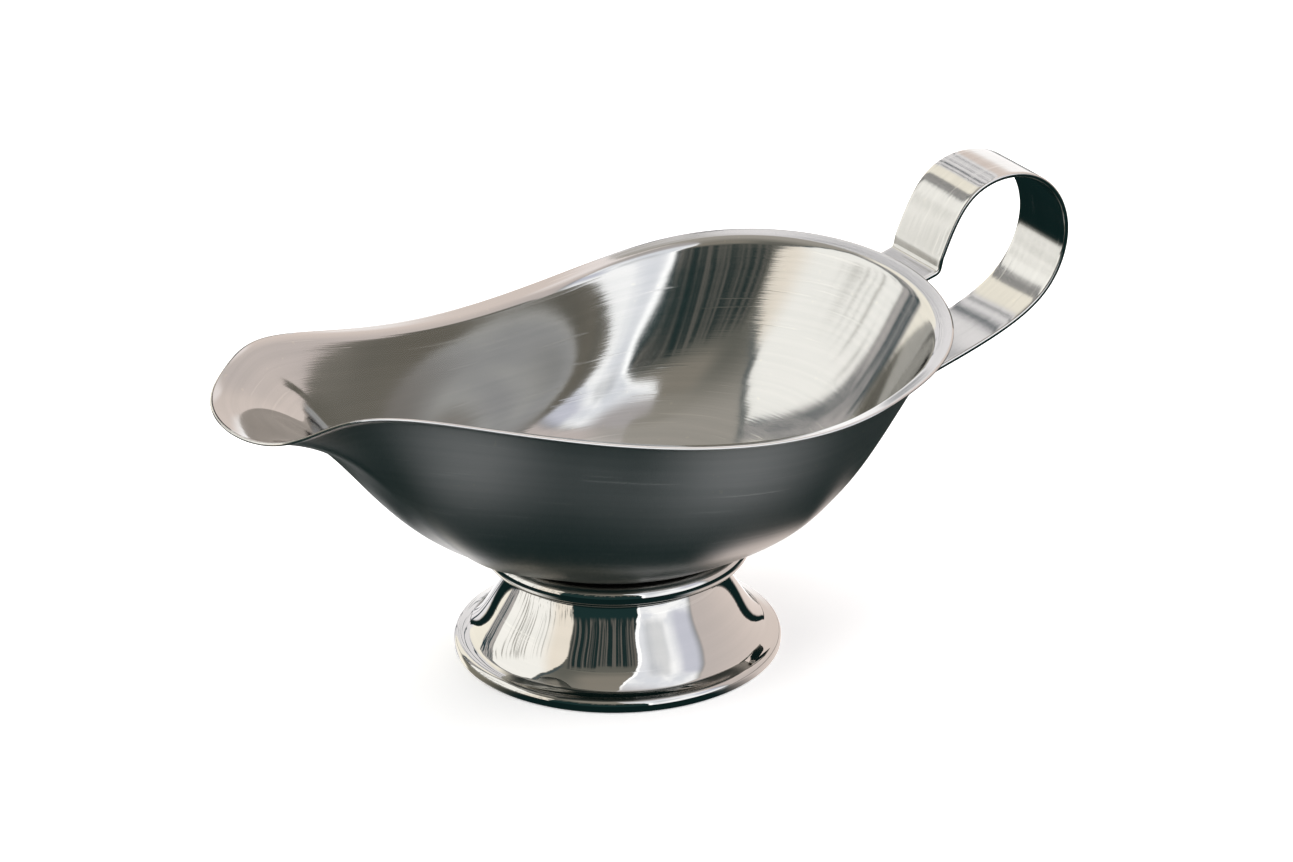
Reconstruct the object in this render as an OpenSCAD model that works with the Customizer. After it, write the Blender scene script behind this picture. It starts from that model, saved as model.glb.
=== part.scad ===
// Pedestal gravy boat in stainless steel.
//
// A pressed boat-shaped bowl with a long open spout and a turned-out rim
// stands on a hollow spun foot.  A flat bent strap forms the loop handle: its
// upper tab sits under the rim at the back, its lower tab lies against the
// underside of the bowl.  Three small runs of filler metal hold the pieces
// together.  Units are millimetres, +Z is up, the spout points to -X, and the
// origin is on the standing plane under the middle of the overall size.

/* [View] */
// which piece to draw

/* [Bowl] */
// length of the bowl from the lip of the spout to the back of the rim
bowl_length = 194.3; // [170:0.1:220]
// width over the turned-out rim
bowl_width = 113.8; // [95:0.1:130]
// height of the spout lip above the table
lip_height = 85.9; // [78:0.1:95]
// thickness of the pressed sheet
bowl_t = 0.8; // [0.6:0.1:1.2]
// radius of the bend where the wall turns out into the rim
rim_bend = 1.5; // [0.8:0.1:2.5]
// height of the middle of the bowl's floor, at half the sheet thickness
floor_z = 24.0; // [22:0.1:28]
// radius of curvature of the floor over the foot
floor_r = 78; // [60:1:110]

/* [Foot] */
// outside radius of the standing ring
foot_r = 40; // [36:0.5:46]
// radius of the neck under the collar
neck_r = 24.9; // [23:0.1:25.5]
// outside radius of the rolled collar under the bowl
collar_r = 32.8; // [32:0.1:34]
// thickness of the spun sheet
foot_t = 0.9; // [0.7:0.1:1.2]

/* [Handle] */
// width of the strap
strap_w = 19; // [15:0.5:24]
// thickness of the strap
strap_t = 1.2; // [0.9:0.1:1.6]
// length of the lower tab that lies against the bowl
end_tab = 10; // [7:0.5:12]

/* [Smoothness] */
// facets around the bowl
bowl_n = 96; // [64:8:112]
// facets around the round pieces
round_n = 128; // [96:8:180]

/* [Hidden] */
$fn = round_n;
clearance = 0.03; // gap left between neighbouring pieces

satin = [0.70, 0.72, 0.71];
polish = [0.88, 0.88, 0.87];
filler = [0.62, 0.60, 0.56];

// ---------------------------------------------------------------- helpers
function total(list) = list * [for (i = list) 1];
function unit(v) = v / norm(v);
function left(v) = [-v[1], v[0]];
function lerp(from, to, u) = from + (to - from) * u;
function heading(angle) = [cos(angle), sin(angle)];

// A smooth closed curve through stations spaced evenly from the spout (0) to
// the back of the rim (180): cosine series for what is the same on both sides
// of the boat, sine series for what changes sign across it.
function end_weight(i, last) = i == 0 || i == last ? 0.5 : 1;
function even(values) = let (last = len(values) - 1) [for (k = [0:last])
    end_weight(k, last) * 2 / last
    * total([for (i = [0:last]) end_weight(i, last) * values[i] * cos(180 * k * i / last)])];
function odd(values) = let (last = len(values) - 1) [for (k = [0:last])
    2 / last * total([for (i = [0:last]) values[i] * sin(180 * k * i / last)])];
function at_even(terms, t) = total([for (k = [0:len(terms) - 1]) terms[k] * cos(k * t)]);
function at_odd(terms, t) = total([for (k = [0:len(terms) - 1]) terms[k] * sin(k * t)]);
function slope_even(terms, t) = total([for (k = [0:len(terms) - 1]) -k * terms[k] * sin(k * t)]);
function slope_odd(terms, t) = total([for (k = [0:len(terms) - 1]) k * terms[k] * cos(k * t)]);

// Bezier curves with four and three control points
function cubic(p, u) = pow(1 - u, 3) * p[0] + 3 * pow(1 - u, 2) * u * p[1]
    + 3 * (1 - u) * u * u * p[2] + pow(u, 3) * p[3];
function quadratic(p, u) = pow(1 - u, 2) * p[0] + 2 * (1 - u) * u * p[1] + u * u * p[2];

// uniform cubic B-spline that starts and ends on its first and last points
function bspline(points, steps) = let (
    last = len(points) - 1,
    q = concat([2 * points[0] - points[1]], points, [2 * points[last] - points[last - 1]]))
    [for (i = [0:last - 1]) for (j = [0:steps - 1]) let (u = j / steps)
        (pow(1 - u, 3) * q[i]
        + (3 * u * u * u - 6 * u * u + 4) * q[i + 1]
        + (-3 * u * u * u + 3 * u * u + 3 * u + 1) * q[i + 2]
        + u * u * u * q[i + 3]) / 6,
     points[last]];

function arc(centre, radius, start, sweep, steps) =
    [for (i = [0:steps]) centre + radius * heading(start + sweep * i / steps)];

// arc that rounds the corner between two neighbouring points
function fillet(before, corner, after, radius, steps) = let (
    back_dir = unit(before - corner),
    on_dir = unit(after - corner),
    half = acos(back_dir * on_dir) / 2,
    centre = corner + unit(back_dir + on_dir) * radius / sin(half),
    from = corner + back_dir * radius / tan(half) - centre,
    to = corner + on_dir * radius / tan(half) - centre,
    start = atan2(from[1], from[0]),
    raw = atan2(to[1], to[0]) - start,
    sweep = raw > 180 ? raw - 360 : raw < -180 ? raw + 360 : raw)
    arc(centre, radius, start, sweep, steps);

// constant-thickness outline about a centre line
function sheet(line, thickness) = let (
    last = len(line) - 1,
    shift = [for (i = [0:last])
        left(unit(line[min(i + 1, last)] - line[max(i - 1, 0)])) * thickness / 2])
    [for (i = [0:last]) line[i] + shift[i],
     for (i = [last:-1:0]) line[i] - shift[i]];

// ------------------------------------------------------------------- bowl
// Stations of the rim at the design size, every 22.5 degrees from the spout
// lip to the back: x, half width, height, width of the turned-out rim, its
// upward tilt, slope of the wall under it, and how full the wall is low down
// and high up.
stations = [
    [-108.3,  0.0, 85.9, 2.4,  6, 12, 0.54, 0.37],
    [-103.0, 16.9, 88.2, 2.0, 16, 24, 0.49, 0.39],
    [ -93.1, 23.2, 92.3, 1.6, 26, 44, 0.46, 0.40],
    [ -75.8, 29.6, 91.2, 2.2, 18, 63, 0.48, 0.41],
    [ -36.8, 41.3, 79.1, 3.6, 12, 74, 0.52, 0.42],
    [  13.6, 55.4, 71.0, 4.0, 12, 75, 0.62, 0.47],
    [  44.6, 55.4, 73.0, 4.0, 12, 65, 0.57, 0.46],
    [  68.7, 43.4, 75.7, 4.0, 12, 59, 0.52, 0.46],
    [  86.0,  0.0, 77.6, 4.0, 12, 56, 0.43, 0.41]];
design_length = 194.3;
design_width = 113.8;
design_lip = 85.9;
design_floor = 24;
height_scale = (lip_height - floor_z) / (design_lip - design_floor);
function column(j) = [for (station = stations) station[j]];
rim_x = even(bowl_length / design_length * column(0));
rim_y = odd(bowl_width / design_width * column(1));
rim_z = even([for (z = column(2)) floor_z + height_scale * (z - design_floor)]);
rim_w = even(column(3));
rim_tilt = even(column(4));
wall_slope = even(column(5));
low_full = even(column(6));
high_full = even(column(7));

floor_n = 4;     // rings in the floor
wall_n = 13;     // rings in the wall
bend_n = 3;      // rings in the bend under the rim
floor_edge = 20; // the floor is a shallow round dish out to this radius
bend_out = 0.8;  // reach of the bend into the rim, as a share of rim_bend
function dish(r) = floor_z + r * r / (2 * floor_r);

// a point [radius, height] of the upright half plane at an angle about the axis
function place(p, angle) = [p[0] * cos(angle), p[0] * sin(angle), p[1]];

// one rib of the mid-surface, from the floor to the edge of the rim
function rib(t) = let (
    edge = [at_even(rim_x, t), at_odd(rim_y, t), at_even(rim_z, t)],
    side = unit([-slope_odd(rim_y, t), slope_even(rim_x, t)]),
    out = side[0] * edge[0] + side[1] * edge[1] > 0 ? side : -side,
    root = edge - at_even(rim_w, t) * [out[0], out[1], tan(at_even(rim_tilt, t))],
    angle = atan2(root[1], root[0]),
    floor_dir = heading(atan(floor_edge / floor_r)),
    wall_dir = heading(at_even(wall_slope, t)),
    wall_low = [floor_edge, dish(floor_edge)],
    wall_high = [norm([root[0], root[1]]), root[2]] - rim_bend * wall_dir,
    chord = norm(wall_high - wall_low),
    wall_curve = [
        wall_low,
        wall_low + at_even(low_full, t) * chord * floor_dir,
        wall_high - at_even(high_full, t) * chord * wall_dir,
        wall_high],
    bend_curve = [
        place(wall_high, angle),
        root,
        root + unit(edge - root) * rim_bend * bend_out])
    [for (i = [1:floor_n]) let (r = floor_edge * i / floor_n) place([r, dish(r)], angle),
     for (i = [1:wall_n]) place(cubic(wall_curve, i / wall_n), angle),
     for (i = [1:bend_n]) quadratic(bend_curve, i / bend_n),
     edge];

// a four-cornered patch as two triangles, split from its first corner
function split(p) = [[p[0], p[1], p[2]], [p[0], p[2], p[3]]];

module bowl() {
    ribs = [for (j = [0:bowl_n - 1]) rib(360 * j / bowl_n)];
    last = len(ribs[0]) - 1;
    // unit normals of the mid-surface, pointing into the bowl
    normals = [for (j = [0:bowl_n - 1]) [for (i = [0:last]) let (
        around = ribs[(j + 1) % bowl_n][i] - ribs[(j + bowl_n - 1) % bowl_n][i],
        up = ribs[j][min(i + 1, last)] - (i == 0 ? [0, 0, floor_z] : ribs[j][i - 1]),
        normal = unit(cross(up, around)))
        normal[2] < 0 ? -normal : normal]];
    // the two middle points, then the rings of the inner and the outer face
    points = [
        for (side = [1, -1]) [0, 0, floor_z + side * bowl_t / 2],
        for (side = [1, -1]) for (i = [0:last]) for (j = [0:bowl_n - 1])
            ribs[j][i] + normals[j][i] * side * bowl_t / 2];
    function inner(i, j) = 2 + i * bowl_n + j % bowl_n;
    function outer(i, j) = inner(i + last + 1, j);
    faces = [for (j = [0:bowl_n - 1]) each [
        [0, inner(0, j), inner(0, j + 1)],
        [1, outer(0, j + 1), outer(0, j)],
        for (i = [0:last - 1]) each concat(
            split([inner(i, j), inner(i + 1, j), inner(i + 1, j + 1), inner(i, j + 1)]),
            split([outer(i, j), outer(i, j + 1), outer(i + 1, j + 1), outer(i + 1, j)])),
        each split([inner(last, j), outer(last, j), outer(last, j + 1), inner(last, j + 1)])]];
    color(satin) translate([-mid_x, 0, 0])
        polyhedron(points = points, faces = faces, convexity = 6);
}

// ------------------------------------------------------------------- foot
// Half section of the spun sheet: up from the standing ring over the flared
// skirt to the neck, out and round the rolled collar, and back in under the
// bowl as a shallow seat that follows its floor.
foot_half = foot_t / 2;
ring_bend = 1.3;    // centre line of the bend over the standing ring
roll_r = 2.05;      // centre line of the rolled edge
roll_drop = 0.02;   // extra drop of the roll below the seat
seat_in = 18.6;     // inner edge of the seat
seat_gap = 0.08;    // gap between the seat and the bowl
seat_lean = 1.035;  // upright over square-on thickness of the sloping seat

// ribs as lines of [distance from the axis, height]
rib_lines = [for (t = [0:15:345]) [for (p = rib(t)) [norm([p[0], p[1]]), p[2]]]];
// lowest point of the bowl's underside at a distance from the axis
function under(r) = min([for (line = rib_lines) let (
    k = [for (i = [0:len(line) - 2]) if (line[i][0] <= r && line[i + 1][0] > r) i][0],
    step = line[k + 1] - line[k],
    slope = step[1] / step[0])
    line[k][1] + slope * (r - line[k][0]) - bowl_t / 2 * norm([1, slope])]);

ring_x = foot_r - foot_half;
roll_x = collar_r - foot_half - roll_r;
seat = [for (r = [roll_x - 0.6, roll_x - 3.4, roll_x - 6.2, 21.4, seat_in])
    [r, under(r) - seat_gap - foot_half * seat_lean]];
seat_angle = atan2(seat[0][1] - seat[1][1], seat[0][0] - seat[1][0]);
roll_z = seat[0][1] - roll_r * cos(seat_angle) - roll_drop;
roll_low = roll_z - roll_r;
// skirt, neck and underside of the collar
skirt = [
    [foot_r - 4, 3.4],
    [foot_r - 5.7, 5.0],
    [foot_r - 7.8, 7.9],
    [lerp(foot_r, neck_r, 0.68), 12],
    [lerp(foot_r, neck_r, 0.85), 16],
    [neck_r + 0.3, 19.6],
    [neck_r - 0.2, roll_z - 3.9],
    [neck_r + 0.7, roll_z - 2.3],
    [max(roll_x - 2.9, neck_r + 1.9), roll_low + 0.05],
    [roll_x - 1.2, roll_low],
    [roll_x, roll_low]];
foot_line = concat(
    [[ring_x, 0], [ring_x, ring_bend]],
    arc([ring_x - ring_bend, ring_bend], ring_bend, 15, 60, 4),
    [[ring_x - 1.7, 2 * ring_bend], [ring_x - 2.4, 2.9], [ring_x - 3.2, 3.25]],
    bspline(skirt, 3),
    arc([roll_x, roll_z], roll_r, -75, 165, 11),
    seat);

module foot()
    color(polish) translate([-mid_x, 0, 0])
        rotate_extrude(angle = 360) polygon(sheet(foot_line, foot_t));

// ----------------------------------------------------------------- handle
// Points here are [x, z] in the plane y = 0.
back = [for (p = rib(180)) [p[0], p[2]]];
rim_back = back[len(back) - 1];
lip_dir = unit(rim_back - back[len(back) - 2]);
lip_under = -left(lip_dir);
strap_gap = bowl_t / 2 + strap_t / 2 + 2 * clearance; // between centre lines

// point of the back wall at a height
wall = [for (i = [floor_n:floor_n + wall_n - 1]) back[i]];
function wall_at(z) = let (
    k = [for (i = [0:len(wall) - 2]) if (wall[i][1] <= z && wall[i + 1][1] > z) i][0])
    lerp(wall[k], wall[k + 1], (z - wall[k][1]) / (wall[k + 1][1] - wall[k][1]));

tab_z = floor_z + 18.6 * height_scale; // middle of the lower tab
tab_span = 3.5; // the wall's direction is taken this far above and below it
tab_dir = unit(wall_at(tab_z + tab_span) - wall_at(tab_z - tab_span));
tab_out = -left(tab_dir);
tab_mid = wall_at(tab_z) + tab_out * strap_gap;
tab_low = tab_mid - tab_dir * end_tab / 2;
tab_top = tab_mid + tab_dir * end_tab / 2;

// upper tab, from under the rim to the corner behind it
top_in = rim_back - lip_dir * 2.9 + lip_under * strap_gap;
top_out = rim_back + lip_dir * 4.2 + lip_under * strap_gap;
top_bend = 1.6; // radii of the strap's bends at the two tabs
low_bend = 5;
// control points of the loop, from the back of the rim
loop_turns = [
    [5.2, 3.2], [12.6, 19.2], [28, 21.4], [40, 14.9],
    [45.5, 0.9], [39, -14.6], [23.5, -21.6], [6.5, -25.6]];
loop_low = rim_back + loop_turns[len(loop_turns) - 1];
loop_line = bspline([
    for (turn = loop_turns) rim_back + turn,
    lerp(loop_low, tab_top, 0.48) + [0, -0.4],
    lerp(loop_low, tab_top, 0.86) + [0, -0.2]], 5);
strap_line = concat(
    [top_in],
    fillet(top_in, top_out, loop_line[0], top_bend, 5),
    loop_line,
    fillet(loop_line[len(loop_line) - 1], tab_top, tab_low, low_bend, 5),
    [tab_low]);
strap_outline = sheet(strap_line, strap_t);

// the shapes are laid out about the axis of the foot; this is how far the
// middle of the overall length lies behind it
lip_reach = 0.04; // reach of the sheet's edge past its mid-surface at the lip
mid_x = (max([for (p = strap_outline) p[0]]) + at_even(rim_x, 0) - lip_reach) / 2;

// stands a shape drawn in [x, z] upright, with its width centred on y = 0
module crosswise(width, at = [0, 0])
    translate([at[0] - mid_x, width / 2, at[1]]) rotate([90, 0, 0]) children();

module handle()
    color(satin) crosswise(strap_w)
        linear_extrude(height = strap_w) polygon(strap_outline);

// ----------------------------------------------------------------- joints
// ring of brazing metal in the corner between the seat's inner edge and the bowl
module foot_braze() {
    last = len(seat) - 1;
    seat_dir = unit(seat[last] - seat[last - 1]);
    down = left(seat_dir);
    face = seat[last] + seat_dir * 2 * clearance;
    top_r = face[0] - foot_half * 0.26;
    toe_r = top_r - 1.7;
    belly_r = top_r - 1.55;
    color(filler) translate([-mid_x, 0, 0]) rotate_extrude(angle = 360) polygon([
        face + down * foot_half * 0.7,
        face - down * foot_half * 0.95,
        [top_r, under(top_r) - clearance],
        [toe_r, under(toe_r) - clearance],
        [belly_r, under(belly_r) - 0.3]]);
}

// round bead across the boat
module bead(at, radius, length)
    color(filler) crosswise(length, at) cylinder(r = radius, h = length);

// bead at the inner end of the upper tab, in the corner under the rim
module handle_top_weld() {
    radius = 0.5;
    bead(top_in - lip_dir * (radius + clearance), radius, length = 8);
}

// bead across the lower end of the lower tab, set in towards the bowl
module handle_end_weld() {
    radius = 0.6;
    inset = 0.24;
    bead(tab_low - tab_dir * (radius + clearance) - tab_out * inset, radius, length = 10);
}

bowl();
foot();
handle();
foot_braze();
handle_top_weld();
handle_end_weld();
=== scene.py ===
"""A stainless steel gravy boat: a bowl on a pedestal foot, with a strap handle.

The pieces are worked out in mm about the foot's vertical axis, standing on z = 0. The spout
points to -X and the handle to +X. The finished meshes are in metres, with the foot's axis at
x = -AXIS_X.
"""
import math

import bpy
import bmesh
import numpy as np
from mathutils import Matrix, Vector, noise


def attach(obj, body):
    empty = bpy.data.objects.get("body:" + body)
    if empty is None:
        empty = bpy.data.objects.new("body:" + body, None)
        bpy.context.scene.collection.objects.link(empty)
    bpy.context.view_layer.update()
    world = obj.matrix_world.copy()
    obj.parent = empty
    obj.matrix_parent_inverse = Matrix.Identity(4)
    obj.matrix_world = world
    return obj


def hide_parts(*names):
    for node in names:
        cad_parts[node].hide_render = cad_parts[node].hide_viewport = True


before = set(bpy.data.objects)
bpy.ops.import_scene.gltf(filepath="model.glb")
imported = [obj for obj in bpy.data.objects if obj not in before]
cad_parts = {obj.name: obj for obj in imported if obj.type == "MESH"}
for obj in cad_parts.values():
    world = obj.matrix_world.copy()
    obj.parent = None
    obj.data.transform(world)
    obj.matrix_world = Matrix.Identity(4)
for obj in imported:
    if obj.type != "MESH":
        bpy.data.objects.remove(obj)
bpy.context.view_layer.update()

MM = 0.001
AXIS_X = 10.88      # the foot's axis lies this far towards the spout from the origin
GAP = 0.03          # clearance between touching pieces

# Azimuth of the view, and the level directions towards the camera and to its right
VIEW_AZ = math.radians(-34.0)
TO_CAMERA = (math.sin(VIEW_AZ), -math.cos(VIEW_AZ), 0)
TO_RIGHT = (math.cos(VIEW_AZ), math.sin(VIEW_AZ), 0)

# Stations from the spout tip round one side to the handle, evenly spaced in the rim parameter:
# rim edge x, y, z; lip width; lip tilt and wall slope below the lip, in degrees;
# reach of the wall curve's lower and upper handles, as parts of its chord
STATIONS = np.array([
    [-108.3, 0.0, 85.9, 2.4, 6, 12, 0.54, 0.37],
    [-103.0, 16.9, 88.2, 2.0, 16, 24, 0.49, 0.39],
    [-93.1, 23.2, 92.3, 1.6, 26, 44, 0.46, 0.40],
    [-75.8, 29.6, 91.2, 2.2, 18, 63, 0.48, 0.41],
    [-36.8, 41.3, 79.1, 3.6, 12, 74, 0.52, 0.42],
    [13.6, 55.4, 71.0, 4.0, 12, 75, 0.62, 0.47],
    [44.6, 55.4, 73.0, 4.0, 12, 65, 0.57, 0.46],
    [68.7, 43.4, 75.7, 4.0, 12, 59, 0.52, 0.46],
    [86.0, 0.0, 77.6, 4.0, 12, 56, 0.43, 0.41]])
Y_COLUMN = 1
BOWL_T = 0.8
RIM_BEND = 1.5      # length of wall taken up by the bend into the lip
FLOOR_Z = 24.0
DISH_R = 78.0       # radius of curvature of the bowl's floor
FLOOR_EDGE = 20.0   # radius at which the floor becomes the wall
BOWL_STEPS = 384    # round the rim

FOOT_R, NECK_R, COLLAR_R = 40.0, 24.9, 32.8
FOOT_T = 0.9
FOOT_HALF = FOOT_T / 2
RING_BEND = 1.3     # bend at the top of the standing ring
FOOT_STEPS = 320
FOOT_GRAIN_R = 30.0     # radius at which the grain is measured round the foot
# Seat under the bowl, from the outside in: radius, height
SEAT = np.array([(29.7, 28.343), (26.9, 27.497), (24.1, 26.729), (21.4, 25.988), (18.6, 25.294)])
SEAT_TILT = math.atan2(SEAT[0][1] - SEAT[1][1], SEAT[0][0] - SEAT[1][0])
ROLL_R = 2.05       # rolled edge of the collar
ROLL_X = COLLAR_R - FOOT_HALF - ROLL_R
ROLL_Z = SEAT[0][1] - ROLL_R * math.cos(SEAT_TILT) - 0.02

STRAP_W, STRAP_T = 19.0, 1.2
STRAP_ROUND = 0.38      # round on the strap's long edges
TAB_LENGTH = 10.0       # lower end of the strap, flat against the wall
TAB_Z = FLOOR_Z + 18.6
# Control points of the handle's loop from the top, measured from the rim edge: x, z
LOOP = [(5.2, 3.2), (12.6, 19.2), (28, 21.4), (40, 14.9), (45.5, 0.9), (39, -14.6),
        (23.5, -21.6), (6.5, -25.6)]
# The curve then runs in to the tab: part of the way, sag
RUN_IN = [(0.48, -0.4), (0.86, -0.2)]
TOP_BEAD_R, END_BEAD_R = 0.5, 0.6


# ------------------------------------------------------------------ curves
def unit(v):
    v = np.asarray(v, float)
    return v / np.linalg.norm(v, axis=-1, keepdims=True)


def left(v):
    return np.array([-v[1], v[0]])


def fade(value, start, width):
    """0 up to start, then a straight rise to 1 over width."""
    return np.clip((value - start) / width, 0, 1)


def arc(centre, radius, start, end, count):
    """Points on an arc in a plane; angles in radians."""
    return [np.array(centre) + radius * np.array([math.cos(a), math.sin(a)])
            for a in np.linspace(start, end, count)]


def bspline(points, steps):
    """Uniform cubic B-spline that starts and ends on its outer control points."""
    p = [np.asarray(point, float) for point in points]
    q = [2 * p[0] - p[1]] + p + [2 * p[-1] - p[-2]]
    out = []
    for i in range(len(q) - 3):
        for j in range(steps):
            u = j / steps
            out.append(((1 - u) ** 3 * q[i] + (3 * u ** 3 - 6 * u * u + 4) * q[i + 1]
                        + (-3 * u ** 3 + 3 * u * u + 3 * u + 1) * q[i + 2]
                        + u ** 3 * q[i + 3]) / 6)
    return out + [p[-1]]


def fillet(before, corner, after, radius, count):
    u, v = unit(before - corner), unit(after - corner)
    half = math.acos(max(-1, min(1, float(u @ v)))) / 2
    centre = corner + unit(u + v) * radius / math.sin(half)
    start = corner + u * radius / math.tan(half) - centre
    end = corner + v * radius / math.tan(half) - centre
    angle = math.atan2(start[1], start[0])
    turn = math.atan2(end[1], end[0]) - angle
    turn = (turn + math.pi) % (2 * math.pi) - math.pi
    return arc(centre, radius, angle, angle + turn, count)


def lengths(points):
    """Distance walked along the first axis of an array of points, from 0."""
    steps = np.diff(points, axis=0, prepend=points[:1])
    return np.cumsum(np.linalg.norm(steps, axis=-1), axis=0)


def resample(points, step):
    """Evenly spaced points on a plane polyline, and their distances along it."""
    points = np.asarray(points, float)
    walked = lengths(points)
    count = max(2, int(round(walked[-1] / step)))
    s = np.linspace(0, walked[-1], count + 1)
    return np.stack([np.interp(s, walked, points[:, i]) for i in (0, 1)], 1), s


def left_normals(line):
    along = np.empty_like(line)
    along[1:-1] = line[2:] - line[:-2]
    along[0], along[-1] = line[1] - line[0], line[-1] - line[-2]
    along = unit(along)
    return np.stack([-along[:, 1], along[:, 0]], 1)


def spin(profile, angles):
    """Turn [radius, height] rows about the vertical axis into [row, angle, xyz]."""
    radius, height = profile[:, 0:1], profile[:, 1:2]
    return np.stack([radius * np.cos(angles), radius * np.sin(angles),
                     np.repeat(height, len(angles), 1)], -1)


def waves(points, seed, size, amount):
    """A low smooth wobble in mm, as hand finishing leaves; size is the typical wavelength."""
    rng = np.random.default_rng(seed)
    out = np.zeros(points.shape[:-1])
    for _ in range(9):
        direction = unit(rng.normal(size=3)) * rng.uniform(0.6, 1.5) * 2 * np.pi / size
        out += np.sin(points @ direction + rng.uniform(0, 2 * np.pi))
    return out * amount / 3


# ------------------------------------------------------------- bowl surface
def series(column):
    """Coefficients of the series through the stations: sines for y, cosines for the rest."""
    values = STATIONS[:, column]
    n = len(values) - 1
    i = np.arange(n + 1)
    if column == Y_COLUMN:
        return np.array([2 / n * np.sum(values * np.sin(np.pi * k * i / n)) for k in i])
    weight = np.where((i == 0) | (i == n), 0.5, 1.0)
    return np.array([weight[k] * 2 / n * np.sum(weight * values * np.cos(np.pi * k * i / n))
                     for k in i])


SERIES = [series(column) for column in range(STATIONS.shape[1])]


def dish(radius):
    return FLOOR_Z + radius * radius / (2 * DISH_R)


def ribs(t, floor, wall, bend, lip):
    """Points [row, rib, xyz] of the middle of the bowl's sheet, from the floor to the rim.

    t holds the rim parameters; the other arguments are places from 0 to 1 on each stretch.
    """
    k = np.arange(len(STATIONS))
    sines, cosines = np.sin(np.outer(t, k)), np.cos(np.outer(t, k))
    x, y, z, width, tilt, slope, low, high = (
        (sines if column == Y_COLUMN else cosines) @ terms for column, terms in enumerate(SERIES))
    edge = np.stack([x, y, z], 1)
    dx = -(sines * k) @ SERIES[0]
    dy = (cosines * k) @ SERIES[Y_COLUMN]
    outward = unit(np.stack([dy, -dx], 1))
    outward *= np.sign(np.sum(outward * edge[:, :2], 1))[:, None]

    # the lip's inner end, on a vertical plane through the axis
    root = edge.copy()
    root[:, :2] -= outward * width[:, None]
    root[:, 2] -= width * np.tan(np.radians(tilt))
    phi = np.arctan2(root[:, 1], root[:, 0])

    def place(radius, height):
        return np.stack([radius * np.cos(phi), radius * np.sin(phi),
                         np.broadcast_to(height, phi.shape)], 1)

    slope = np.radians(slope)
    climb = np.stack([np.cos(slope), np.sin(slope)], 1)
    wall_top = np.stack([np.hypot(root[:, 0], root[:, 1]), root[:, 2]], 1) - RIM_BEND * climb
    wall_foot = np.array([FLOOR_EDGE, dish(FLOOR_EDGE)])
    chord = np.linalg.norm(wall_top - wall_foot, axis=1)
    floor_slope = math.atan(FLOOR_EDGE / DISH_R)
    floor_dir = np.array([math.cos(floor_slope), math.sin(floor_slope)])
    low_handle = wall_foot + (low * chord)[:, None] * floor_dir
    high_handle = wall_top - (high * chord)[:, None] * climb
    bend_start = place(*wall_top.T)
    bend_end = root + unit(edge - root) * RIM_BEND * 0.8

    rows = [place(FLOOR_EDGE * u, dish(FLOOR_EDGE * u)) for u in floor]
    for u in wall:
        point = ((1 - u) ** 3 * wall_foot + 3 * (1 - u) ** 2 * u * low_handle
                 + 3 * (1 - u) * u * u * high_handle + u ** 3 * wall_top)
        rows.append(place(*point.T))
    for u in bend:
        rows.append((1 - u) ** 2 * bend_start + 2 * (1 - u) * u * root + u * u * bend_end)
    for u in lip:
        rows.append(bend_end + (edge - bend_end) * u)
    return np.array(rows)


# ------------------------------------------------------------- mesh helpers
def quads(rows, cols, ring=False, rows_first=False):
    """Faces of a grid whose columns close on themselves, and whose rows do if ring is set."""
    faces = []
    for i in range(rows if ring else rows - 1):
        above = (i + 1) % rows
        for j in range(cols):
            k = (j + 1) % cols
            face = [i * cols + j, i * cols + k, above * cols + k, above * cols + j]
            faces.append(face[:1] + face[:0:-1] if rows_first else face)
    return faces


def grid_uv(along, across):
    """Grain coordinates in metres, from distances in mm that broadcast to a grid."""
    return np.stack(np.broadcast_arrays(along, across), -1).reshape(-1, 2) * MM


def make(name, verts, faces, uvs, attributes, material, wrap=None):
    """A mesh object from points in mm.

    uvs are per vertex, along and across the grain; wrap is the grain's length round a ring.
    """
    mesh = bpy.data.meshes.new(name)
    mesh.from_pydata(((np.asarray(verts) - [AXIS_X, 0, 0]) * MM).tolist(), [], faces)
    mesh.validate(clean_customdata=False)
    layer = mesh.uv_layers.new(name="grain")
    index = np.empty(len(mesh.loops), int)
    mesh.loops.foreach_get("vertex_index", index)
    corners = uvs[index]
    if wrap:
        # the grain runs on over the seam of a closed ring
        for face in mesh.polygons:
            span = slice(face.loop_start, face.loop_start + face.loop_total)
            u = corners[span, 0]
            if u.max() - u.min() > wrap * 0.5:
                corners[span, 0] = np.where(u < wrap * 0.5, u + wrap, u)
    layer.data.foreach_set("uv", corners.ravel())
    for key, values in attributes.items():
        attribute = mesh.attributes.new(key, "FLOAT", "POINT")
        attribute.data.foreach_set("value", np.asarray(values, np.float32))
    mesh.materials.append(material)
    mesh.polygons.foreach_set("use_smooth", [True] * len(mesh.polygons))
    mesh.update()
    ob = bpy.data.objects.new(name, mesh)
    bpy.context.scene.collection.objects.link(ob)
    return ob


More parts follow.
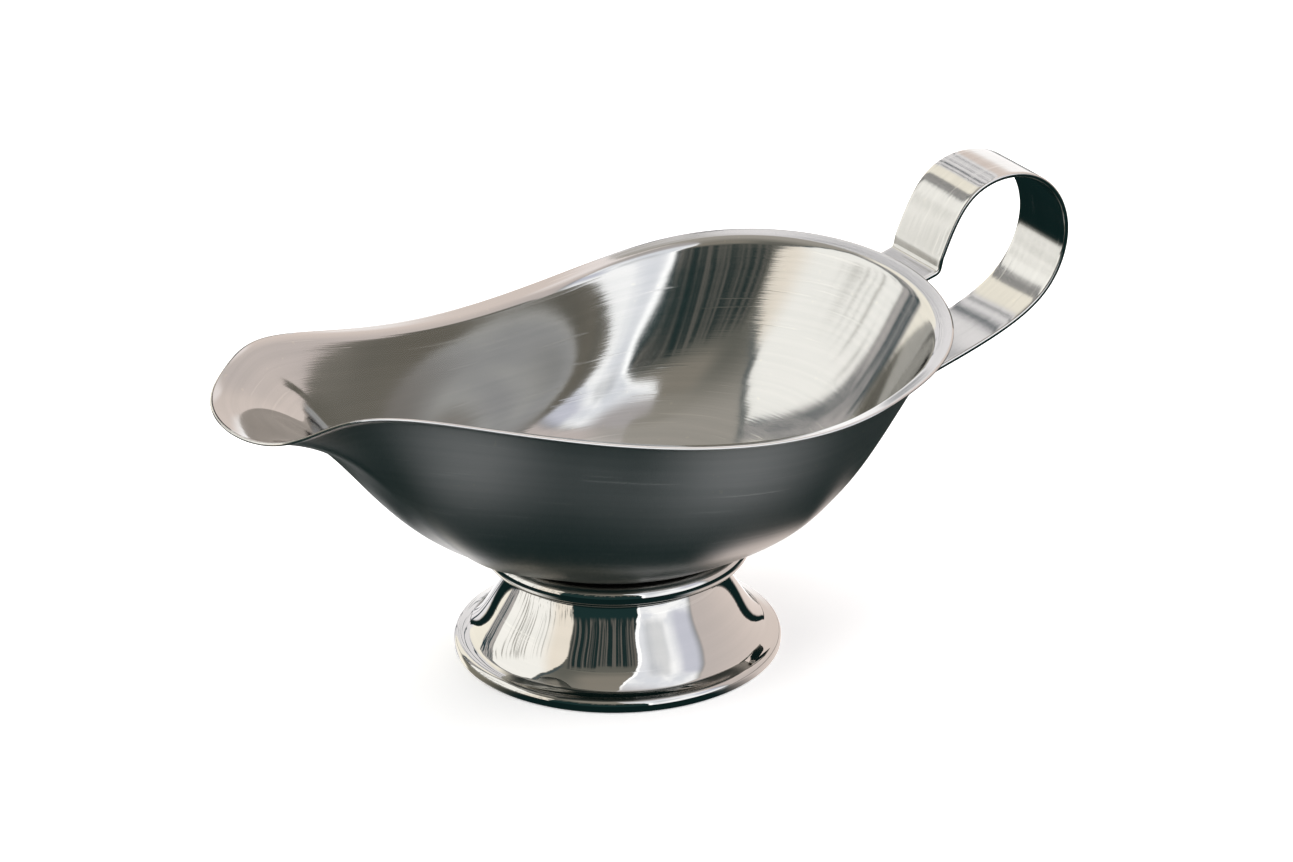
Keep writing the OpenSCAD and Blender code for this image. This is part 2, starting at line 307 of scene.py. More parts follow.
# ---------------------------------------------------------------- shader nodes
class Nodes:
    """A material or world, with short calls that add and link its nodes."""

    def __init__(self, name, world=False):
        self.block = (bpy.data.worlds if world else bpy.data.materials).new(name)
        self.block.use_nodes = True
        self.tree = self.block.node_tree
        self.tree.nodes.clear()

    def add(self, kind, inputs=None, **settings):
        node = self.tree.nodes.new("ShaderNode" + kind)
        for key, value in settings.items():
            setattr(node, key, value)
        for key, value in (inputs or {}).items():
            if isinstance(value, bpy.types.NodeSocket):
                self.tree.links.new(value, node.inputs[key])
            else:
                node.inputs[key].default_value = value
        return node

    def math(self, operation, *values, clamp=False):
        return self.add("Math", dict(enumerate(values)), operation=operation,
                        use_clamp=clamp).outputs[0]

    def times(self, a, b):
        return self.math("MULTIPLY", a, b)

    def mul_add(self, value, factor, addend):
        return self.math("MULTIPLY_ADD", value, factor, addend)

    def vary(self, base, texture, amount):
        """base, moved by a texture centred on 0.5."""
        return self.mul_add(self.math("SUBTRACT", texture, 0.5), amount, base)

    def vector_math(self, operation, *values, out=0):
        return self.add("VectorMath", dict(enumerate(values)), operation=operation).outputs[out]

    def dot(self, a, b):
        return self.vector_math("DOT_PRODUCT", a, b, out="Value")

    def step(self, x, start, end, low=0.0, high=1.0):
        """Smooth step from low at start to high at end; start may be the greater."""
        return self.add("MapRange", {"Value": x, "From Min": start, "From Max": end,
                                     "To Min": low, "To Max": high},
                        interpolation_type="SMOOTHSTEP").outputs["Result"]

    def band(self, x, start, end, soft):
        """1 between start and end, with soft edges."""
        return self.times(self.step(x, start - soft, start + soft),
                          self.step(x, end - soft, end + soft, 1.0, 0.0))

    def mix(self, factor, a, b):
        return self.add("Mix", {"Factor": factor, "A": a, "B": b},
                        data_type="RGBA").outputs["Result"]

    def attribute(self, name):
        return self.add("Attribute", attribute_name=name).outputs["Fac"]

    def noise(self, vector, scale, detail, rough):
        return self.add("TexNoise", {"Vector": vector, "Scale": scale, "Detail": detail,
                                     "Roughness": rough}).outputs["Fac"]

    def mapping(self, vector, x=1, y=1, location=(0, 0, 0)):
        return self.add("Mapping", {"Vector": vector, "Scale": (x, y, 1),
                                    "Location": location}).outputs[0]

    def finish(self, kind, shader):
        self.add(kind, {"Surface": shader})
        return self.block


def rgb(*levels):
    """sRGB 0-255 to linear."""
    parts = [level / 255 for level in levels]
    return (*(c / 12.92 if c <= 0.04045 else ((c + 0.055) / 1.055) ** 2.4 for c in parts), 1.0)


# ---------------------------------------------------------------- metals
EDGE_WEAR = 0.5


def outer_wall_rough(g, obj, change):
    """Change of roughness outside the bowl: more near the rim, at two humps across the view."""
    height = g.add("SeparateXYZ", {0: obj}).outputs[2]
    across = g.dot(obj, TO_RIGHT)

    def hump(centre, reach):
        return g.times(g.step(across, centre - reach, centre),
                       g.step(across, centre, centre + reach, 1.0, 0.0))

    brushed = g.math("ADD", g.times(hump(centre=-0.044, reach=0.026), 0.75),
                     hump(centre=0.022, reach=0.028))
    brushed = g.mul_add(brushed, 0.26, 0.06)
    return g.mul_add(g.step(height, 0.040, 0.076), brushed, change)


def metal(name, tints, rough, rough_var, grain, aniso, seed, along, across, spots, bump,
          patch=0.02, rotation=0.25, spout_rough=None, outer_rough=None):
    """Steel or filler brushed along the first grain coordinate.

    rough_var and patch: roughness change by streak and by cloud; grain: height of the streaks;
    along, across: density of the grain; spots: strength of the specks. Only the bowl has
    spout_rough and outer_rough, the roughness in its spout and on its outer wall.
    """
    g = Nodes(name)
    is_bowl = spout_rough is not None
    uv = g.add("UVMap", uv_map="grain").outputs[0]
    obj = g.add("TexCoord").outputs["Object"]
    base = g.mapping(uv, location=(seed * 0.37, seed * 0.71, 0))
    # hair-fine grain, broader streaks, uneven buffing, and single long scratches
    fine = g.noise(g.mapping(base, along, across), 1.0, 2.0, 0.6)
    coarse = g.noise(g.mapping(base, along * 0.6, across * 0.22), 1.0, 3.0, 0.55)
    cloud = g.noise(g.vector_math("ADD", obj, (seed, 0, 0)), 28.0, 3.0, 0.5)
    line = g.noise(g.mapping(base, along * 1.7, across * 0.35, (3.1, 1.7, 0)), 1.0, 0.0, 0.5)
    scratch = g.step(line, 0.735, 0.76)
    edge = g.attribute("edge")
    speck = g.times(g.step(g.noise(obj, 900.0, 0.0, 0.5), 0.80, 0.84), spots)

    tint = g.math("ADD", g.times(coarse, 0.55), g.times(cloud, 0.45), clamp=True)
    colour = g.mix(g.step(tint, 0.33, 0.67), *tints)
    colour = g.mix(g.times(scratch, 0.2), colour, rgb(236, 235, 230))
    colour = g.mix(g.times(edge, 0.5 * EDGE_WEAR), colour, rgb(240, 238, 233))
    colour = g.mix(speck, colour, rgb(225, 222, 210))

    # roughness: scratches are rougher, worn edges smoother
    r = g.vary(rough, coarse, rough_var * 2.0)
    r = g.vary(r, cloud, patch * 2.0)
    r = g.mul_add(scratch, 0.05, r)
    r = g.mul_add(edge, -rough * 0.45 * EDGE_WEAR, r)
    if is_bowl:
        r = g.mul_add(g.attribute("spout"), spout_rough - rough, r)
        change = outer_wall_rough(g, obj, outer_rough - rough)
        r = g.mul_add(g.attribute("outside"), change, r)
    r = g.math("MAXIMUM", r, 0.02)

    height = g.times(fine, grain)
    height = g.mul_add(coarse, grain * 1.4, height)
    height = g.mul_add(scratch, -0.8 * grain, height)
    height = g.mul_add(cloud, 2.0, height)
    if is_bowl:
        # the spout is smoother
        height = g.times(height, g.mul_add(g.attribute("spout"), -0.75, 1.0))
    normal = g.add("Bump", {"Strength": bump, "Distance": 0.00006, "Height": height})
    tangent = g.add("Tangent", direction_type="UV_MAP", uv_map="grain")
    surface = g.add("BsdfPrincipled", {
        "Metallic": 1.0, "Base Color": colour, "Roughness": r, "Anisotropic": aniso,
        "Anisotropic Rotation": rotation, "Tangent": tangent.outputs[0],
        "Normal": normal.outputs[0]})
    return g.finish("OutputMaterial", surface.outputs[0])


BOWL_SATIN = metal(
    "bowl_satin", tints=(rgb(202, 202, 200), rgb(209, 208, 206)), rough=0.10, rough_var=0.012,
    grain=1.0, aniso=0.6, seed=1.0, along=14.0, across=2600.0, spots=0.3, bump=0.14,
    spout_rough=0.08, outer_rough=0.30)
HANDLE_SATIN = metal(
    "handle_satin", tints=(rgb(205, 204, 201), rgb(212, 211, 208)), rough=0.11, rough_var=0.012,
    grain=1.0, aniso=0.55, seed=2.0, along=30.0, across=2200.0, spots=0.2, bump=0.18)
FOOT_POLISHED = metal(
    "foot_polished", tints=(rgb(208, 207, 204), rgb(214, 212, 209)), rough=0.03, rough_var=0.006,
    grain=0.35, aniso=0.2, seed=3.0, along=8.0, across=1500.0, spots=0.1, bump=0.10, patch=0.012)
FILLER = metal(
    "filler", tints=(rgb(150, 140, 122), rgb(186, 178, 160)), rough=0.34, rough_var=0.08,
    grain=1.6, aniso=0.1, seed=4.0, along=500.0, across=500.0, spots=0.5, bump=0.6, patch=0.12,
    rotation=0.0)


# --------------------------------------------------------------------- bowl
def bowl_sheet():
    """Middle of the sheet, its normals towards the inside, and the lip's direction."""
    def places(steps):
        return np.linspace(0, 1, steps + 1)[1:]

    t = np.linspace(0, 2 * np.pi, BOWL_STEPS, endpoint=False)
    mid = ribs(t, np.linspace(0.04, 1, 12), places(58), places(9), [0.35, 0.7, 1.0])
    # the edge is rounded, so the middle stops half the thickness short
    lip = unit(mid[-1] - mid[-2])
    mid[-1] -= lip * (BOWL_T / 2 + 0.005)
    across = np.roll(mid, -1, 1) - np.roll(mid, 1, 1)
    up = np.empty_like(mid)
    up[1:-1] = mid[2:] - mid[:-2]
    up[0] = mid[1] - mid[0]
    up[-1] = lip
    normal = unit(np.cross(across, up))
    normal *= np.sign(normal[..., 2:3])
    # the wall is slightly uneven; the floor and the rim stay true
    wobble = waves(mid, seed=11, size=46.0, amount=0.05) * fade(mid[..., 2], 25, 12)
    wobble[-14:] = 0
    return mid + normal * wobble[..., None], normal, lip


def build_bowl():
    mid, normal, lip = bowl_sheet()
    half = BOWL_T / 2
    rim = np.array([mid[-1] + normal[-1] * half * math.sin(a) + lip * half * math.cos(a)
                    for a in np.radians(np.linspace(72, -72, 9))])
    grid = np.concatenate([mid + normal * half, rim, (mid - normal * half)[::-1]])
    rows = len(grid)
    poles = [[0, 0, FLOOR_Z + half], [0, 0, FLOOR_Z - half]]
    pole_in = rows * BOWL_STEPS
    pole_out = pole_in + 1
    last = (rows - 1) * BOWL_STEPS
    ring = range(BOWL_STEPS)
    faces = quads(rows, BOWL_STEPS)
    faces += [[pole_in, (j + 1) % BOWL_STEPS, j] for j in ring]
    faces += [[pole_out, last + j, last + (j + 1) % BOWL_STEPS] for j in ring]

    # the grain runs round the boat, level with the rim
    round_rim = lengths(np.concatenate([mid[-1], mid[-1][:1]]))
    across = lengths(grid).mean(1)
    uv = np.concatenate([grid_uv(round_rim[:-1], across[:, None]),
                         [[0, 0], [0, across[-1] * MM]]])

    row = np.arange(rows)[:, None]
    rim_row = len(mid) + len(rim) // 2
    outside = np.broadcast_to((row > rim_row).astype(float), grid.shape[:2])
    edge = np.broadcast_to(np.exp(-((row - rim_row) / 7.0) ** 2), grid.shape[:2])
    spout = fade(-grid[..., 0], 70, 22) * (1 - outside)
    return make("gravy_bowl", np.concatenate([grid.reshape(-1, 3), poles]), faces, uv, {
        "outside": np.append(outside, [0, 1]),
        "edge": np.append(edge, [0, 0]),
        "spout": np.append(spout, [0, 0])}, BOWL_SATIN, wrap=round_rim[-1] * MM)


# --------------------------------------------------------------------- foot
def foot_line():
    """Half section of the foot: standing ring, flared skirt, neck, rolled collar, seat."""
    outer = FOOT_R - FOOT_HALF

    def flare(part):
        return FOOT_R + (NECK_R - FOOT_R) * part

    ring = [np.array([outer, z]) for z in (0.0, 0.35, 0.8)]
    ring += arc((outer - RING_BEND, RING_BEND), RING_BEND, 0, math.radians(78), 12)
    ring += bspline([(outer - 1.35, 2.58), (outer - 1.9, 2.72), (outer - 2.5, 2.95),
                     (outer - 3.2, 3.22)], 3)
    roll_low = ROLL_Z - ROLL_R
    skirt = bspline([
        (FOOT_R - 4, 3.4), (FOOT_R - 5.7, 5.0), (FOOT_R - 7.8, 7.9),
        (flare(0.68), 12), (flare(0.85), 16), (NECK_R + 0.3, 19.6),
        (NECK_R - 0.2, ROLL_Z - 3.9), (NECK_R + 0.7, ROLL_Z - 2.3),
        (ROLL_X - 2.9, roll_low + 0.05), (ROLL_X - 1.2, roll_low), (ROLL_X, roll_low)], 12)
    roll = arc((ROLL_X, ROLL_Z), ROLL_R, math.radians(-84), math.radians(88) + SEAT_TILT, 26)
    return np.array(ring + skirt + roll + list(SEAT))


def build_foot():
    line, _ = resample(foot_line(), 0.42)
    normal = left_normals(line)
    right_side, left_side = line - normal * FOOT_HALF, line + normal * FOOT_HALF
    end_dir = unit(line[-1] - line[-2])
    cap = [line[-1] + FOOT_HALF * (end_dir * math.cos(a) + normal[-1] * math.sin(a))
           for a in np.radians([-60, -30, 0, 30, 60])]
    # the ring stands on a narrow flat with both corners eased
    ease = 0.22
    flat = FOOT_HALF - ease
    base = (arc((line[0, 0] - flat, ease), ease, math.pi, 1.5 * math.pi, 4)
            + arc((line[0, 0] + flat, ease), ease, -0.5 * math.pi, 0, 4))
    keep = (right_side[:, 1] > ease + 0.1) | (np.arange(len(line)) > 4)
    section = np.concatenate([right_side[keep], cap, left_side[keep][::-1], base])
    rows = len(section)
    theta = np.linspace(0, 2 * np.pi, FOOT_STEPS, endpoint=False)
    grid = spin(section, theta)

    # spinning and polishing leave the skirt slightly uneven, between the ring and the collar
    radius, z = section.T
    uneven = fade(z, 2.9, 1.5) * fade(-radius, -36.5, 3.0) * fade(-z, -22.5, 2)
    wobble = waves(grid, seed=5, size=30.0, amount=0.035)
    for lobes, phase, amount in ((3, 0.7, 0.02), (5, 2.1, 0.015), (8, 4.0, 0.008)):
        wobble += np.sin(lobes * theta + phase) * amount
    wobble *= uneven[:, None]
    outward = unit(np.stack([np.gradient(z), -np.gradient(radius)], 1))
    grid += wobble[..., None] * spin(outward, theta)

    edge = np.zeros(rows)
    kept = int(keep.sum())
    edge[kept - 3:kept + len(cap) + 3] = 1.0
    edge[-len(base):] = 1.0
    return make("pedestal_foot", grid.reshape(-1, 3),
                quads(rows, FOOT_STEPS, ring=True, rows_first=True),
                grid_uv(theta * FOOT_GRAIN_R, lengths(section)[:, None]),
                {"edge": np.repeat(edge, FOOT_STEPS)}, FOOT_POLISHED,
                wrap=2 * math.pi * FOOT_GRAIN_R * MM)


# ------------------------------------------------------------------- handle
def strap_path():
    """Middle line of the strap in [x, z], and the centres of its top and end weld beads."""
    back = ribs(np.array([math.pi]), [], np.linspace(0, 1, 14)[1:], [1.0], [1.0])[:, 0, [0, 2]]
    wall, lip_root, rim = back[:-2], back[-2], back[-1]

    def wall_at(z):
        return np.array([np.interp(z, wall[:, 1], wall[:, 0]), z])

    gap = BOWL_T / 2 + STRAP_T / 2 + 2 * GAP
    # the top end lies under the lip
    lip_dir = unit(rim - lip_root)
    under_lip = rim - left(lip_dir) * gap
    top, top_bend = under_lip - lip_dir * 2.9, under_lip + lip_dir * 4.2
    # the lower end lies flat on the outside of the wall
    wall_dir = unit(wall_at(TAB_Z + 3.5) - wall_at(TAB_Z - 3.5))
    wall_out = -left(wall_dir)
    tab = wall_at(TAB_Z) + wall_out * gap
    tab_low, tab_top = tab - wall_dir * TAB_LENGTH / 2, tab + wall_dir * TAB_LENGTH / 2

    points = [rim + np.array(offset) for offset in LOOP]
    low = points[-1]
    points += [low + (tab_top - low) * part + [0, sag] for part, sag in RUN_IN]
    loop = bspline(points, 16)
    line = [top, *fillet(top, top_bend, loop[0], 1.6, 11), *loop,
            *fillet(loop[-1], tab_top, tab_low, 5, 13), tab_low]
    top_bead = top - lip_dir * (TOP_BEAD_R + GAP)
    end_bead = tab_low - wall_dir * (END_BEAD_R + GAP) - wall_out * 0.24
    return np.array(line), top_bead, end_bead


def strap_section():
    """Section of the strap, [across, through]: flat faces and rounded edges."""
    flat_x, flat_z = STRAP_W / 2 - STRAP_ROUND, STRAP_T / 2 - STRAP_ROUND
    corners = []
    for quarter, (x, z) in enumerate(((1, 1), (-1, 1), (-1, -1), (1, -1))):
        start = quarter * math.pi / 2
        corners += arc((x * flat_x, z * flat_z), STRAP_ROUND, start, start + math.pi / 2, 6)
    section = []
    for a, b in zip(corners, corners[1:] + corners[:1]):
        section.append(a)
        if abs(b[0] - a[0]) > 5:
            # extra points across the flat faces
            section += [a + (b - a) * u for u in np.linspace(0, 1, 22)[1:-1]]
    return np.array(section)


def build_handle(path):
    line, s = resample(path, 0.55)
    normal = np.insert(left_normals(line), 1, 0, axis=1)[:, None]
    section = strap_section()
    y, z = section.T
    rows, cols = len(line), len(section)
    half = STRAP_W / 2
    # both ends are drawn in a little
    full = np.clip(np.minimum(s, s[-1] - s) / 0.35, 0, 1)[:, None]
    grid = np.insert(line, 1, 0, axis=1)[:, None] + normal * (z * (0.72 + 0.28 * full))[..., None]
    grid[..., 1] = y * (half - 0.2 + 0.2 * full) / half
    # bent by hand round a former, so not perfectly even between its ends
    body = fade(s, 9, 10) * fade(-s, 16 - s[-1], 10)
    wobble = waves(grid, seed=21, size=34.0, amount=0.05) * body[:, None]
    grid += wobble[..., None] * normal

    faces = quads(rows, cols, rows_first=True)
    faces.append(list(range(cols)))
    faces.append(list(reversed(range((rows - 1) * cols, rows * cols))))
    edge = fade(np.abs(y), half - 0.55, 0.3)
    return make("loop_handle", grid.reshape(-1, 3), faces, grid_uv(s[:, None], lengths(section)),
                {"edge": np.tile(edge, rows)}, HANDLE_SATIN)


# ------------------------------------------------------------------ fillers
def make_filler(name, grid, faces):
    verts = grid.reshape(-1, 3)
    return make(name, verts, faces, verts[:, :2] * MM, {"edge": np.zeros(len(verts))}, FILLER)


def build_braze():
    """Ring of filler between the inner end of the foot's seat and the bowl."""
    def under(radius):
        return dish(radius) - BOWL_T / 2 / math.cos(math.atan(radius / DISH_R)) - GAP

    steps = 256
    inward = unit(SEAT[-1] - SEAT[-2])
    side = left(inward)
    face = SEAT[-1] + inward * 2 * GAP
    corner = face + side * FOOT_HALF * 0.68
    outer = face[0] - FOOT_HALF * 0.3
    bulge = np.array([0.3, 0.95]) * 0.16
    grid = []
    for theta in np.arange(steps) * 2 * math.pi / steps:
        x, y = math.cos(theta), math.sin(theta)
        width = (1.45 + 0.12 * noise.noise(Vector((x * 5, y * 5, 3.3)))
                 + 0.06 * noise.noise(Vector((x * 19, y * 19, 8.1))))
        inner = outer - width
        toe = np.array([inner, under(inner) - 0.05])
        section = [face + side * FOOT_HALF * q for q in np.linspace(-0.9, 0.68, 6)]
        for q in np.linspace(0.12, 0.94, 8):
            r, z = corner + (toe - corner) * q + bulge * math.sin(math.pi * q)
            section.append((r, min(z, under(r) - 0.02)))
        section += [(r, under(r) - 0.01) for r in np.linspace(inner, outer, 8)]
        grid.append([(r * x, r * y, z) for r, z in section])
    grid = np.array(grid)
    return make_filler("braze_ring", grid, quads(steps, grid.shape[1], ring=True))


def build_bead(name, centre, length, radius, phase):
    """A short weld across the strap: a rounded bead with the ripples the puddle leaves."""
    rows, cols = 72, 28
    grid = []
    for y in np.linspace(-1, 1, rows) * length / 2:
        into_end = max(0.0, abs(y) - (length / 2 - radius)) / radius
        taper = max(0.03, math.sqrt(max(0.0, 1 - into_end ** 2)))
        ripple = (0.93 - 0.05 * abs(math.sin(y * 3.9 + phase))
                  + 0.03 * noise.noise(Vector((y * 0.9, phase, 1.7))))
        r = radius * taper * min(1.0, ripple)
        grid.append([(centre[0] + r * math.cos(a), y, centre[1] + r * math.sin(a))
                     for a in np.arange(cols) * 2 * math.pi / cols])
    faces = quads(rows, cols)
    faces.append(list(reversed(range(cols))))
    faces.append(list(range((rows - 1) * cols, rows * cols)))
    return make_filler(name, np.array(grid), faces)


STRAP_LINE, TOP_BEAD, END_BEAD = strap_path()
# object, the CAD piece it replaces, material slot
PIECES = (
    (build_bowl(), "bowl", "bowl_satin"),
    (build_foot(), "foot", "foot_polished"),
    (build_handle(STRAP_LINE), "handle", "handle_satin"),
    (build_braze(), "foot_braze", "filler"),
    (build_bead("top_weld_bead", TOP_BEAD, length=7.9, radius=TOP_BEAD_R, phase=1.3),
     "handle_top_weld", "filler"),
    (build_bead("end_weld_bead", END_BEAD, length=9.9, radius=END_BEAD_R, phase=2.6),
     "handle_end_weld", "filler"))
for ob, node, slot in PIECES:
    bm = bmesh.new()
    bm.from_mesh(ob.data)
    bmesh.ops.recalc_face_normals(bm, faces=bm.faces)
    bm.to_mesh(ob.data)
    bm.free()
    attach(ob, "root")
    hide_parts(node)


# ------------------------------------------------------------------- floor
def floor_material():
    """Pale to the eye; mirrored in the steel as a dark table top that fades out further off."""
    g = Nodes("floor_pale")
    white = (0.95, 0.95, 0.95, 1)
    pale = g.add("BsdfDiffuse", {"Color": white})
    dark = g.add("Emission", {"Color": [c * 0.95 for c in rgb(20, 40, 40)[:3]] + [1]})
    glow = g.add("Emission", {"Color": white, "Strength": 0.42})
    seen = g.add("AddShader", {0: pale.outputs[0], 1: glow.outputs[0]})
    clear = g.add("BsdfTransparent")
    # place on the floor from the foot's axis; facing is 1 towards the camera, -1 away from it
    place = g.vector_math("ADD", g.add("NewGeometry").outputs["Position"], (AXIS_X * MM, 0, 0))
    distance = g.vector_math("LENGTH", place, out="Value")
    facing = g.math("DIVIDE", g.dot(place, TO_CAMERA), distance)
    # the dark top is left out close to the foot except in front, behind it, and far off
    near = g.times(g.step(facing, 0.80, 0.45), g.step(distance, 0.072, 0.054))
    rear = g.times(g.step(facing, -0.10, -0.45), g.step(distance, 0.100, 0.075))
    left_out = g.math("MAXIMUM", g.step(distance, 0.30, 0.95), rear)
    left_out = g.math("MAXIMUM", left_out, near)
    mirrored = g.add("MixShader", {0: left_out, 1: dark.outputs[0], 2: clear.outputs[0]})
    glossy = g.add("LightPath").outputs["Is Glossy Ray"]
    surface = g.add("MixShader", {0: glossy, 1: seen.outputs[0], 2: mirrored.outputs[0]})
    return g.finish("OutputMaterial", surface.outputs[0])


def build_floor():
    material = floor_material()
    bm = bmesh.new()
    bmesh.ops.create_grid(bm, x_segments=24, y_segments=24, size=4.0)
    mesh = bpy.data.meshes.new("floor")
    bm.to_mesh(mesh)
    bm.free()
    mesh.materials.append(material)
    floor = bpy.data.objects.new("floor", mesh)
    scene.collection.objects.link(floor)
    floor.location.z = -0.0002


# ------------------------------------------------------------------- world
def lit(r, g, b, gain=1.0):
    """Light of the brightness that shows as this sRGB colour once mirrored in the steel."""
    steel = 0.62
    return (*(c / steel * gain for c in rgb(r, g, b)[:3]), 1.0)


class Studio(Nodes):
    """The room round the object, as a function of direction in degrees.

    az is measured from the camera's side, positive to its right; el is above the horizon.
    Each method lays its part over the colour it is given.
    """

    def __init__(self):
        super().__init__("studio", world=True)
        self.dir = self.add("TexCoord").outputs["Generated"]
        right = self.dot(self.dir, TO_RIGHT)
        front = self.dot(self.dir, TO_CAMERA)
        up = self.dot(self.dir, (0, 0, 1))
        self.az = self.times(self.math("ARCTAN2", right, front), 180 / math.pi)
        self.el = self.times(self.math("ARCSINE", up), 180 / math.pi)
        # the same angles made slightly wavy
        wobble = self.noise(self.mapping(self.dir), 6.0, 2.0, 0.5)
        self.wavy_az = self.vary(self.az, wobble, 5.0)
        self.wavy_el = self.vary(self.el, wobble, 5.0)
        # az with little el in it, for upright streaks
        self.upright = self.add("CombineXYZ", {0: self.az, 1: self.times(self.el, 0.06)}).outputs[0]

    def streaks(self, place, scale, rough):
        return self.noise(self.mapping(self.upright, location=place), scale, 2.0, rough)

    def sky(self):
        """Taupe ceiling and upper room, darker low down in front."""
        col = self.mix(self.step(self.el, 38, 80), lit(92, 92, 86), lit(138, 134, 126))
        front = self.times(self.band(self.az, -40, 60, 12.0), self.band(self.el, 44, 66, 5.0))
        col = self.mix(front, col, lit(126, 121, 112))
        return self.mix(self.step(self.az, -50, -115), col, lit(150, 146, 139))

    def dim_room(self, col):
        """Behind the camera, with streaks of things standing in it."""
        streak = self.noise(self.upright, 0.33, 3.0, 0.6)
        room = self.mix(self.step(streak, 0.46, 0.62), lit(26, 42, 42), lit(98, 95, 90))
        room = self.mix(self.step(self.el, 22, 30), lit(26, 46, 46), room)
        area = self.times(self.band(self.az, -47, 40, 1.5), self.step(self.wavy_el, 39.5, 37.5))
        return self.mix(area, col, room)

    def left_card(self, col):
        """Cream card; its top sags towards the camera's side, with a dark line over it."""
        sag = self.step(self.az, -100, -40, 48.5, 33.0)
        above = self.math("SUBTRACT", self.wavy_el, sag)
        card = self.times(self.band(self.wavy_az, -119, -47, 1.0), self.step(above, 0.5, -0.5))
        line = self.times(self.band(self.wavy_az, -131, -52, 4.0),
                          self.band(above, 0.5, 2.6, 0.6))
        col = self.mix(self.times(line, 0.85), col, lit(62, 74, 78))
        strips = self.step(self.streaks((57, 9, 0), scale=0.55, rough=0.6), 0.52, 0.60)
        strips = self.times(strips, self.step(self.wavy_el, 30, 22, 0.0, 0.8))
        cream = self.mix(self.step(self.az, -76, -60), lit(237, 236, 232), lit(226, 218, 206))
        return self.mix(card, col, self.mix(strips, cream, lit(142, 140, 134)))

    def left_rear(self, col):
        """From the card round to the back: a lined grey gap, cream, and a slotted white card."""
        gap = self.times(self.band(self.wavy_az, -131, -118, 0.8), self.step(self.el, 51, 47))
        lines = self.step(self.streaks((7, 0, 0), scale=0.8, rough=0.7), 0.44, 0.52)
        col = self.mix(gap, col, self.mix(lines, lit(38, 58, 64), lit(168, 164, 162)))
        beyond = self.times(self.band(self.wavy_az, -151, -130.5, 0.8),
                            self.step(self.el, 50, 44))
        col = self.mix(beyond, col, lit(231, 226, 214))
        slots = self.step(self.streaks((31, 4, 0), scale=0.42, rough=0.6), 0.38, 0.46)
        card = self.times(self.band(self.az, -180.5, -150, 1.5), self.step(self.el, 56, 46))
        return self.mix(card, col, self.mix(slots, lit(34, 52, 60), lit(214, 212, 214)))

    def window(self, col):
        """Big soft window on the right; its left edge leans, and is its brightest part."""
        az, el = self.az, self.el
        left_edge = self.math("ADD", self.step(el, 30, 62, 20.0, 2.0),
                              self.step(el, 60, 85, 0.0, -8.0))
        past = self.math("SUBTRACT", self.wavy_az, left_edge)
        area = self.times(self.step(past, -0.6, 0.6), self.step(az, 84, 72))
        below_top = self.step(el, 54, 74, 1.0, 0.0)
        cloud = self.step(self.noise(self.dir, 3.0, 3.0, 0.55), 0.35, 0.65)
        pane = self.mix(cloud, lit(212, 215, 222), lit(243, 244, 246))
        # a bluish patch at the right and a faint grey one at the left
        patch = self.times(self.band(az, 58, 82, 6.0), self.band(el, 18, 42, 5.0))
        pane = self.mix(patch, pane, lit(190, 192, 204))
        patch = self.times(self.band(az, 27, 48, 4.0), self.band(el, 28, 44, 4.0))
        pane = self.mix(self.times(patch, 0.4), pane, lit(130, 134, 140))
        pane = self.mix(self.band(past, 0.0, 3.0, 1.0), pane, lit(250, 251, 252, gain=1.15))
        pane = self.mix(below_top, lit(164, 160, 160), pane)
        return self.mix(area, col, pane)

    def backdrop(self, col):
        """Pinkish grey to the right and behind, paler higher up behind, greyer overhead."""
        az, el = self.az, self.el
        drop = self.mix(self.step(az, 80, 150), lit(184, 175, 172), lit(202, 190, 184))
        pale = self.times(self.step(el, 40, 52), self.step(az, 105, 140))
        drop = self.mix(pale, drop, lit(222, 214, 212))
        drop = self.mix(self.step(el, 60, 84), drop, lit(160, 156, 152))
        col = self.mix(self.step(az, 78, 82), col, drop)
        # light falling low down straight behind
        low = self.times(self.step(self.math("ABSOLUTE", az), 165, 173), self.step(el, 22, 10))
        return self.mix(low, col, lit(240, 239, 240))

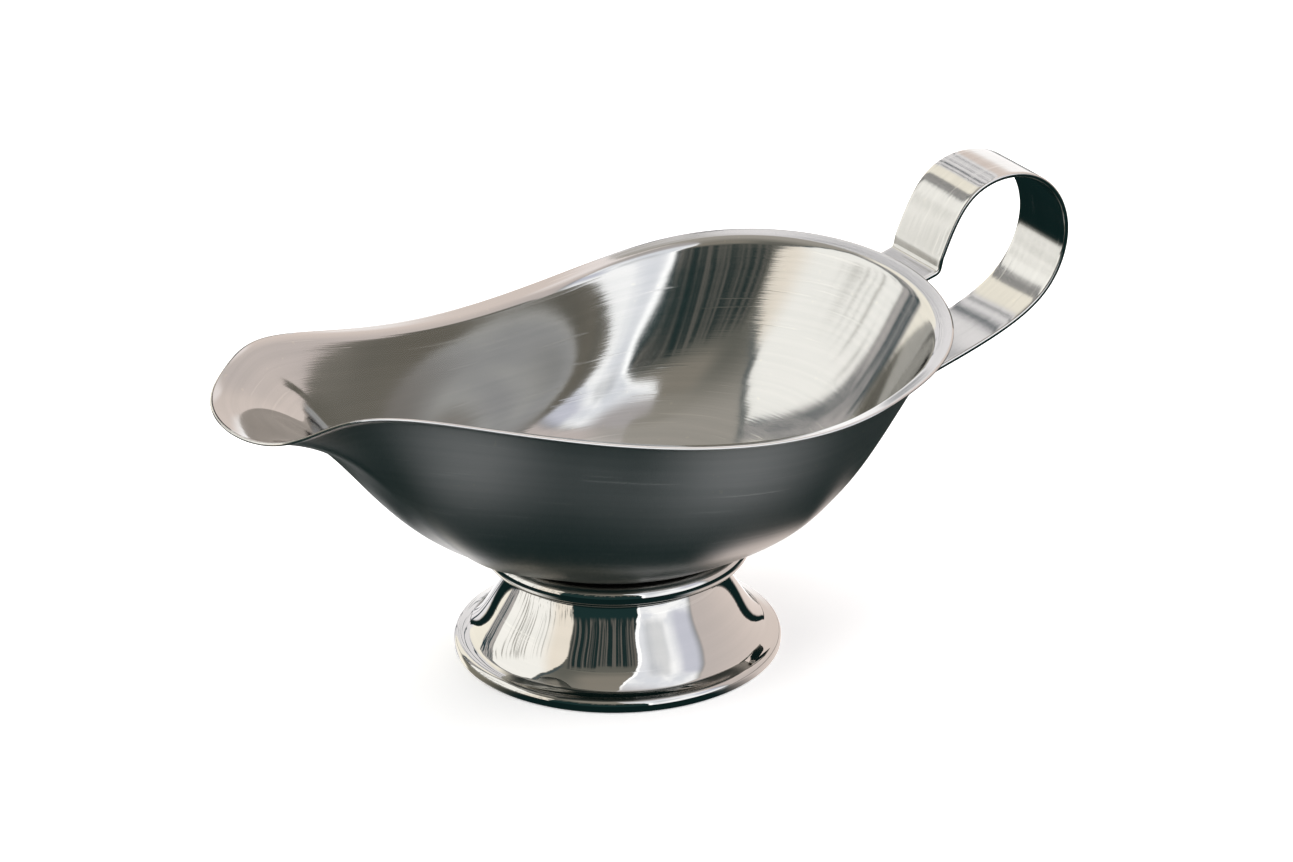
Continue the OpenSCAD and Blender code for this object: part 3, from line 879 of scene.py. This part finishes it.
    def table_left(self, col):
        """The table's far left, brown."""
        area = self.times(self.band(self.az, -133, -55, 4.0), self.band(self.el, -32, -6, 5.0))
        return self.mix(area, col, lit(116, 113, 102))

    def dim_bounces(self, col):
        """Light that has already bounced inside the bowl comes back dim and even."""
        depth = self.add("LightPath").outputs["Glossy Depth"]
        return self.mix(self.times(self.step(depth, 1.4, 1.6), 0.5), col, lit(118, 115, 107))


def build_world():
    studio = Studio()
    colour = studio.sky()
    for lay in (studio.dim_room, studio.left_card, studio.left_rear, studio.window,
                studio.backdrop, studio.table_left, studio.dim_bounces):
        colour = lay(colour)
    background = studio.add("Background", {"Color": colour, "Strength": 1.0})
    return studio.finish("OutputWorld", background.outputs[0])


# --------------------------------------------------------- light and camera
def build_light():
    """One broad soft light overhead for the floor, not mirrored in the steel."""
    lamp = bpy.data.lights.new("soft_light", "AREA")
    lamp.shape = "SQUARE"
    lamp.size = 2.6
    lamp.energy = 42.0
    ob = bpy.data.objects.new("soft_light", lamp)
    scene.collection.objects.link(ob)
    ob.location = (0.2 - AXIS_X * MM, 0.3, 2.2)
    ob.visible_glossy = False


def build_camera():
    elevation, roll = math.radians(25.941), math.radians(0.805)
    distance = 2.0
    target = Vector((-AXIS_X * MM, 0, 0.040))
    back = Vector(TO_CAMERA) * math.cos(elevation) + Vector((0, 0, math.sin(elevation)))
    right = Vector(TO_RIGHT)
    up = back.cross(right)
    rolled_right = right * math.cos(roll) - up * math.sin(roll)
    rolled_up = right * math.sin(roll) + up * math.cos(roll)
    camera = bpy.data.cameras.new("camera")
    ob = bpy.data.objects.new("camera", camera)
    scene.collection.objects.link(ob)
    pose = Matrix((rolled_right, rolled_up, back)).transposed().to_4x4()
    pose.translation = target + back * distance
    ob.matrix_world = pose
    camera.sensor_width = 36.0
    camera.lens = 229.587007
    camera.shift_x = 0.0239505027
    camera.shift_y = 0.0462142305
    camera.clip_start = 0.05
    camera.clip_end = 50
    scene.camera = ob


scene = bpy.context.scene
scene.view_settings.view_transform = "Standard"
scene.view_settings.look = "None"
build_floor()
scene.world = build_world()
build_light()
build_camera()

bpy.context.view_layer.update()
